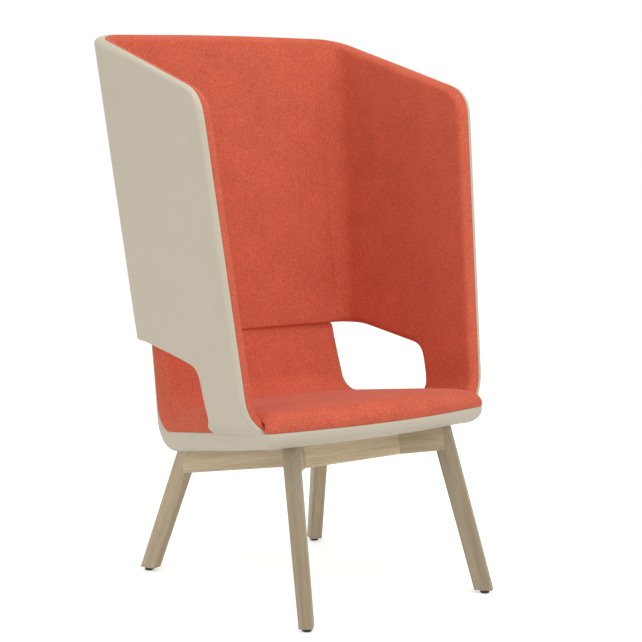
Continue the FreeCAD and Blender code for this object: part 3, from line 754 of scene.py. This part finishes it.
WINDOW_TIGHT_FADE = 30.0
WINDOW_TIGHT_AHEAD = 40.0
CORNER_FILL = 3.1
FILL_REACH = 160.0
VALLEY_DEPTH = 1.8
VALLEY_INSET = 27.0
VALLEY_WIDTH = 10.0
VALLEY_START = 25.0
VALLEY_FADE = 60.0
VALLEY_BOTTOM = 625.0
STRAP_SWELL = 2.0
STRAP_REACH = 200.0
STRAP_FADE = 60.0
STRAP_HEIGHT = 614.0
STRAP_SPREAD = 35.0


def screen_corner(z):
    """Plan of the screen at a height, where the lines of the back and of a wing meet: both lines
    shift with z. Gives the corner, the half angle of the back's bow and the turn of the arc."""
    corner_y = BACK_REACH + BACK_LEAN * z
    corner_x = SIDE_REACH + SIDE_FLARE * z - SIDE_TOE * corner_y
    bow = np.arctan(BACK_BOW / corner_x)
    return corner_x, corner_y, bow, math.pi / 2 - TOE - bow


def back_straight(corner_x, bow, turn):
    """Length left straight between the back's wide bow and its corner arc: the slanting line to
    the corner less the tangents of both."""
    return corner_x / np.cos(bow) - BOW_RADIUS * np.tan(bow) - CORNER_RADIUS * np.tan(turn / 2)


def plan_marks():
    """Distances along the plan, at the wall's middle height, where the bow, straight and arc end."""
    corner_x, _, bow, turn = screen_corner(MIDDLE_HEIGHT)
    bow_end = BOW_RADIUS * bow
    straight_end = bow_end + back_straight(corner_x, bow, turn)
    return bow_end, straight_end, straight_end + CORNER_RADIUS * turn


BOW_END, STRAIGHT_END, ARC_END = plan_marks()


def screen_plan(along, z):
    """Plan of the screen's middle surface: a wide bow, a short straight, a corner arc and a
    straight wing, at a distance along it from the middle of the back. Gives x, y and the normal."""
    corner_x, corner_y, bow, turn = screen_corner(z)
    side = np.where(along < 0, -1, 1)
    run = np.abs(along)
    on_bow = bow * np.clip(run / BOW_END, 0, 1)
    past_bow = np.clip((run - BOW_END) / (STRAIGHT_END - BOW_END), 0, 1)
    on_straight = back_straight(corner_x, bow, turn) * past_bow
    on_arc = turn * np.clip((run - STRAIGHT_END) / (ARC_END - STRAIGHT_END), 0, 1)
    on_wing = np.maximum(run - ARC_END, 0)
    crest_y = corner_y + BACK_BOW - BOW_RADIUS * (1 / np.cos(bow) - 1)
    x = BOW_RADIUS * np.sin(on_bow) + on_straight * np.cos(bow) + on_wing * math.sin(TOE)
    x = x + CORNER_RADIUS * (np.sin(bow + on_arc) - np.sin(bow))
    y = crest_y - BOW_RADIUS * (1 - np.cos(on_bow)) - on_straight * np.sin(bow) - on_wing * math.cos(TOE)
    y = y + CORNER_RADIUS * (np.cos(bow + on_arc) - np.cos(bow))
    angle = on_bow + on_arc
    return side * x, y, side * np.sin(angle), np.cos(angle)


def wing_along(y, z):
    """Distance along the plan of the point of a wing that has this y and z."""
    start_y = screen_plan(np.full(np.shape(z), ARC_END), z)[1]
    return ARC_END + (start_y - y) / math.cos(TOE)


def corner_fill(along, z, offset):
    """Shift that tightens the outer corner: an arc of smaller radius between the same two walls.
    A point of the arc moves by the lost radius times (bisector / cosine of the half turn less
    the normal), and the walls slide towards the corner by a share that fades with distance."""
    _, _, bow, turn = screen_corner(z)
    half = turn / 2
    run = np.abs(along)
    angle = bow + turn * np.clip((run - STRAIGHT_END) / (ARC_END - STRAIGHT_END), 0, 1)
    away = np.maximum(np.maximum(STRAIGHT_END - run, run - ARC_END), 0)
    fade = np.clip(1 - away / FILL_REACH, 0, 1)
    lost = CORNER_FILL * np.maximum(offset, 0) * fade * fade * (3 - 2 * fade)
    x = np.sin(bow + half) / np.cos(half) - np.sin(angle)
    y = np.cos(bow + half) / np.cos(half) - np.cos(angle)
    return np.where(along < 0, -1, 1) * x * lost, y * lost


def seat_side_rounded(y):
    """Half width of the seat at y, with the quarter circle of its front corner taken off."""
    start = SEAT_CORNER_Y + SEAT_CORNER_RADIUS
    ahead = np.clip(start - y, 0.0, SEAT_CORNER_RADIUS)
    return seat_side(y) - SEAT_CORNER_RADIUS + np.sqrt(SEAT_CORNER_RADIUS ** 2 - ahead ** 2)


def screen_place(along, z, offset):
    """Point of the screen: its plan at that height, moved out by the offset. Below the foot's
    rise, a wing is drawn in to the seat's rounded side by a cube of the height that is left, and
    under the seam it follows the shell's roll in front and tucks behind the shell further back."""
    x, y, across, back = screen_plan(along, z)
    fill_x, fill_y = corner_fill(along, z, offset)
    x = x + across * offset + fill_x
    y = y + back * offset + fill_y
    rise = z - level("seam", y)
    left = 1 - np.clip(rise / FOOT_RISE, 0, 1)
    rear = np.clip((y - FOOT_REAR_START) / FOOT_REAR_FADE, 0, 1)
    tucked = np.clip((-rise - FOOT_TUCK_START) / FOOT_TUCK_REACH, 0, 1)
    proud = FOOT_PROUD - FOOT_TUCK * rear * tucked ** 2
    under = np.clip((-rise - SHELL_EDGE) / FOOT_ROLL_REACH, 0, FOOT_ROLL_LIMIT)
    rolled = shell_roll(y) * (1 - np.sqrt(1 - under ** 2)) * (1 - rear)
    wall_x = SIDE_REACH + SIDE_FLARE * z - SIDE_TOE * y + COVER_DEPTH
    draw = (wall_x - seat_side_rounded(y) + rolled - proud) * left ** 3
    x = x - np.sign(x) * np.where(np.abs(along) > ARC_END, draw, 0.0)
    return np.stack([x, y, z], axis=1)


def post_rear(z):
    """y of the post's rear edge: a slanting line down from the window's front corner."""
    return WINDOW_FRONT[0] - POST_LEAN * (WINDOW_FRONT[1] - z)


def foot_corner(y, below, radius):
    """Corner of the foot's outline at a y and a depth below the seat's seam."""
    z = level("seam", y) - below
    return wing_along(y, z), z, radius


def screen_loop():
    """Outline of the screen, developed flat: rim, tips, front edges, feet, windows and back. The
    post's front edge flares by a quarter ellipse into the foot, and its rear edge by a square."""
    rim_along = np.linspace(0, ARC_END + RIM_RUN_ON, 80)
    rim_z = np.full(len(rim_along), RIM_GUESS)
    for _ in range(SETTLING_PASSES):
        rim_z = RIM_MIDDLE + RIM_SLOPE * screen_plan(rim_along, rim_z)[1]
    post_front = WING_TIP[0] - BACK_LEAN * (WING_TIP[1] - POST_TOP)
    tip = rounded([(rim_along[-1], rim_z[-1], 0),
                   (wing_along(*WING_TIP), WING_TIP[1], WING_TIP_RADIUS),
                   (wing_along(post_front, POST_TOP), POST_TOP, 0)])
    z = np.linspace(POST_TOP, POST_FRONT_BOTTOM, 50)
    y = WING_TIP[0] - BACK_LEAN * (WING_TIP[1] - z)
    rise = z - level("seam", y)
    flared = y - FOOT_FRONT_FLARE * (1 - np.sqrt(1 - np.clip(1 - rise / FOOT_FRONT_RISE, 0, 1) ** 2))
    front = np.stack([wing_along(flared, z), z], axis=1)[rise > FOOT_FRONT_END]
    z = np.linspace(POST_REAR_BOTTOM, POST_REAR_TOP, 30)
    y = post_rear(z)
    rise = z - level("seam", y)
    flared = y + FOOT_REAR_FLARE * np.clip(1 - rise / FOOT_REAR_RISE, 0, 1) ** 2
    rear = np.stack([wing_along(flared, z), z], axis=1)[rise > FOOT_REAR_END]
    foot = rounded([(*front[-1], 0), foot_corner(*FOOT_TOE), foot_corner(*FOOT_HEEL), (*rear[0], 0)])
    window = rounded([(*rear[-1], 0),
                      (wing_along(*WINDOW_FRONT), WINDOW_FRONT[1], WINDOW_FRONT_RADIUS),
                      (wing_along(*WINDOW_REAR), WINDOW_REAR[1], WINDOW_REAR_RADIUS),
                      (ARC_END - 20.0, WINDOW_REAR[1], 0)])
    half = np.vstack([np.stack([rim_along, rim_z], axis=1), tip[1:], front[1:], foot[1:], rear[1:],
                      window[1:], [(0.0, WINDOW_REAR[1])]])
    mirrored = half[::-1] * np.array([-1.0, 1.0])
    whole = np.vstack([half[:-1], mirrored[:-1]])
    return softly(evenly(whole[::-1], SCREEN_LINE_STEP), SCREEN_LINE_PASSES)


def roll_rings(inset_round, depth_round, face_depth):
    """Rings of a rolled edge: a small tuck into the seam, then a quarter ellipse to the face."""
    sense = np.sign(face_depth)
    start = abs(face_depth) - depth_round
    rings = [(1.5, 0.0), (0.3, sense * 0.6), (0.0, sense * np.maximum(start * 0.5, 1.4)),
             (0.0, sense * np.maximum(start, ROLL_START))]
    for angle in np.linspace(0, math.pi / 2, 9)[1:]:
        rings.append((inset_round * (1 - math.cos(angle)), sense * (start + depth_round * math.sin(angle))))
    return rings


screen_line = screen_loop()
line_along, line_z = screen_line.T
line_y = screen_plan(line_along, line_z)[1]
near_middle = np.clip((BACK_EDGE_REACH - np.abs(line_along)) / BACK_EDGE_FADE, 0, 1)
at_back_edge = near_middle * (line_z < BACK_EDGE_TOP)
near_seat = np.clip(1 - (line_z - level("seam", line_y)) / FOOT_TIGHT_RISE, 0, 1)
at_foot = near_seat * (np.abs(line_along) > ARC_END)
low_down = np.clip((WINDOW_TIGHT_TOP - line_z) / WINDOW_TIGHT_FADE, 0, 1)
at_window = low_down * (line_y > post_rear(line_z) - WINDOW_TIGHT_AHEAD)
tight = np.maximum(at_foot, np.maximum(at_window, at_back_edge))


def cover_place(along, z, offset):
    """Point of the cover: that of the screen, with a shallow valley beside the rim of each wing, a
    bell curve of the distance from the outline, and a low swelling where the straps lie under it."""
    face = np.clip(offset - COVER_FACE_START, 0, 1)
    gap = nearest(np.stack([along, z], axis=1), screen_line)
    on_wing = np.clip((np.abs(along) - ARC_END - VALLEY_START) / VALLEY_FADE, 0, 1) * (z > VALLEY_BOTTOM)
    valley = VALLEY_DEPTH * on_wing * np.exp(-((gap - VALLEY_INSET) / VALLEY_WIDTH) ** 2)
    near_straps = np.clip((STRAP_REACH - np.abs(along)) / STRAP_FADE, 0, 1)
    over_straps = near_straps * np.exp(-((z - STRAP_HEIGHT) / STRAP_SPREAD) ** 2)
    return screen_place(along, z, offset + face * (STRAP_SWELL * over_straps - valley))


cover_inset = COVER_ROLL * (1 - tight) + COVER_ROLL_TIGHT * tight
cover_round = COVER_DEPTH - ROLL_START - COVER_EDGE_FLATTER * at_back_edge
cover_rings = roll_rings(cover_inset, cover_round, COVER_DEPTH)
screen_cover = pad_mesh("screen_cover", screen_line, cover_rings, cover_place, COVER_STEP)
screen_cover.data.materials.append(beige)
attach(screen_cover, "root")
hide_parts("screen_cover_left", "screen_cover_right", "screen_cover_back")

# Screen lining: the red inside of the same wall, of the cushion's felt over thicker foam. It is
# sewn from three panels, so an upright seam runs down each side of the back, and its roll meets
# the cover's in the seam round the rim.

LINING_DEPTH = 24.0
LINING_ROLL = 17.0
LINING_ROLL_LESS = 10.0
LINING_EDGE_FLATTER = 12.0
LINING_FACE_START = 18.0
UPRIGHT_SEAM_X = 282.0
UPRIGHT_SEAM_BOTTOM = 612.0
UPRIGHT_SEAM_TOP = 1325.0
UPRIGHT_SEAM_STEP = 6.0
UPRIGHT_GROOVE_BOTTOM = 560.0
UPRIGHT_SEAM_DEPTH = 1.5
UPRIGHT_SEAM_WIDTH = 1.7


def upright_seam_points():
    """Points on both upright seams and close beside them, at a fixed x: the distance along the
    plan is mended by what x still lacks until it stays."""
    heights = np.arange(UPRIGHT_SEAM_BOTTOM, UPRIGHT_SEAM_TOP, UPRIGHT_SEAM_STEP)
    along = np.full(len(heights), UPRIGHT_SEAM_X)
    for _ in range(SETTLING_PASSES):
        along = along + UPRIGHT_SEAM_X - screen_plan(along, heights)[0]
    right = np.vstack([np.stack([along + shift, heights], axis=1)
                       for shift in (-4.5, -2.4, -1.1, 0.0, 1.1, 2.4, 4.5)])
    return np.vstack([right, right * np.array([-1.0, 1.0])])


def lining_place(along, z, offset):
    """Point of the lining: that of the screen, with a sewn groove down both seams, a bell curve
    of the distance from the seam."""
    gap = np.abs(screen_plan(along, z)[0]) - UPRIGHT_SEAM_X
    near_face = (-offset - LINING_FACE_START) / (LINING_DEPTH - LINING_FACE_START)
    face = np.clip(near_face, 0, 1) * (z > UPRIGHT_GROOVE_BOTTOM)
    groove = UPRIGHT_SEAM_DEPTH * face * np.exp(-(gap / UPRIGHT_SEAM_WIDTH) ** 2)
    return screen_place(along, z, offset + groove)


lining_inset = LINING_ROLL - LINING_ROLL_LESS * (at_back_edge + at_foot)
lining_round = LINING_DEPTH - ROLL_START - LINING_EDGE_FLATTER * at_back_edge
lining_rings = roll_rings(lining_inset, lining_round, -LINING_DEPTH)
screen_lining = pad_mesh("screen_lining", screen_line, lining_rings, lining_place, PAD_STEP,
                         upright_seam_points())
screen_lining.data.materials.append(felt)
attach(screen_lining, "root")
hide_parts("screen_lining_left", "screen_lining_right", "screen_lining_back")

# Room: a plain pale floor that keeps the chair's soft shadow, and a surround that is white where
# the camera sees it and lights the chair softly from all round.

FLOOR_REACH = 14.0


def joined(tree, kind, first, second, **values):
    """Shader node over two shaders: a mix or a sum of them."""
    made = node(tree, kind, **values)
    spots = made.inputs[-2:]
    tree.links.new(first.outputs[0], spots[0])
    tree.links.new(second.outputs[0], spots[1])
    return made


world = bpy.data.worlds.new("surround")
bpy.context.scene.world = world
world.use_nodes = True
tree = world.node_tree
tree.nodes.clear()
path = tree.nodes.new("ShaderNodeLightPath").outputs
soft = node(tree, "ShaderNodeBackground", Color=(1.0, 0.985, 0.965, 1), Strength=0.62)
white = node(tree, "ShaderNodeBackground", Color=(1, 1, 1, 1), Strength=1.0)
surround = joined(tree, "ShaderNodeMixShader", soft, white, Fac=path["Is Camera Ray"])
node(tree, "ShaderNodeOutputWorld", Surface=surround.outputs[0])

corners = [(-FLOOR_REACH, -FLOOR_REACH, 0), (FLOOR_REACH, -FLOOR_REACH, 0),
           (FLOOR_REACH, FLOOR_REACH, 0), (-FLOOR_REACH, FLOOR_REACH, 0)]
floor_mesh = bpy.data.meshes.new("floor")
floor_mesh.from_pydata(corners, [], [(0, 1, 2, 3)])
floor = bpy.data.objects.new("floor", floor_mesh)
bpy.context.scene.collection.objects.link(floor)
ground = bpy.data.materials.new("floor")
ground.use_nodes = True
tree = ground.node_tree
tree.nodes.clear()
path = tree.nodes.new("ShaderNodeLightPath").outputs
seen = node(tree, "ShaderNodeMath", operation="MAXIMUM")
tree.links.new(path["Is Camera Ray"], seen.inputs[0])
tree.links.new(path["Is Glossy Ray"], seen.inputs[1])
matt = node(tree, "ShaderNodeBsdfDiffuse", Color=(0.82, 0.82, 0.81, 1))
unlit = node(tree, "ShaderNodeEmission", Strength=0.0)
glow = node(tree, "ShaderNodeEmission", Strength=0.5)
seen_glow = joined(tree, "ShaderNodeMixShader", unlit, glow, Fac=seen.outputs[0])
pale = joined(tree, "ShaderNodeAddShader", matt, seen_glow)
node(tree, "ShaderNodeOutputMaterial", Surface=pale.outputs[0])
floor_mesh.materials.append(ground)

# Lamps: large soft squares in front, at the left, behind and above, as in a photographer's studio.
# They stand far off, so that their light falls evenly over the whole chair.


def lamp(name, place, aim, size, power):
    """Square soft lamp at a place, turned to look at a point."""
    light = bpy.data.lights.new(name, "AREA")
    light.size = size
    light.energy = power
    made = bpy.data.objects.new(name, light)
    made.location = place
    made.rotation_euler = (Vector(aim) - Vector(place)).to_track_quat("-Z", "Y").to_euler()
    bpy.context.scene.collection.objects.link(made)


lamp("front_lamp", place=(1.0, -4.4, 3.0), aim=(0, 0, 0.7), size=2.8, power=68.0)
lamp("left_lamp", place=(-4.6, 0.2, 1.0), aim=(0, 0, 0.4), size=2.6, power=40.0)
lamp("rear_lamp", place=(1.5, 4.6, 2.2), aim=(0, 0, 0.8), size=3.0, power=32.0)
lamp("top_lamp", place=(-0.6, -0.8, 4.2), aim=(0, 0, 0.4), size=3.0, power=60.0)

# Camera: a long lens a little above the middle of the screen, in front of the chair and to its
# side. It stands at the photograph's place and looks the photograph's way.

PHOTO_SPOT = (-2.6835, -3.6001, 1.1947)
PHOTO_TURN = math.radians(-37.18)
PHOTO_TILT = math.radians(90 - 6.978)
PHOTO_LENS = 103.93

eye = bpy.data.cameras.new("camera")
eye.sensor_width = 36.0
eye.lens = PHOTO_LENS
camera = bpy.data.objects.new("camera", eye)
camera.location = PHOTO_SPOT
camera.rotation_euler = (PHOTO_TILT, 0, PHOTO_TURN)
bpy.context.scene.collection.objects.link(camera)
bpy.context.scene.camera = camera
bpy.context.scene.view_settings.view_transform = "Standard"
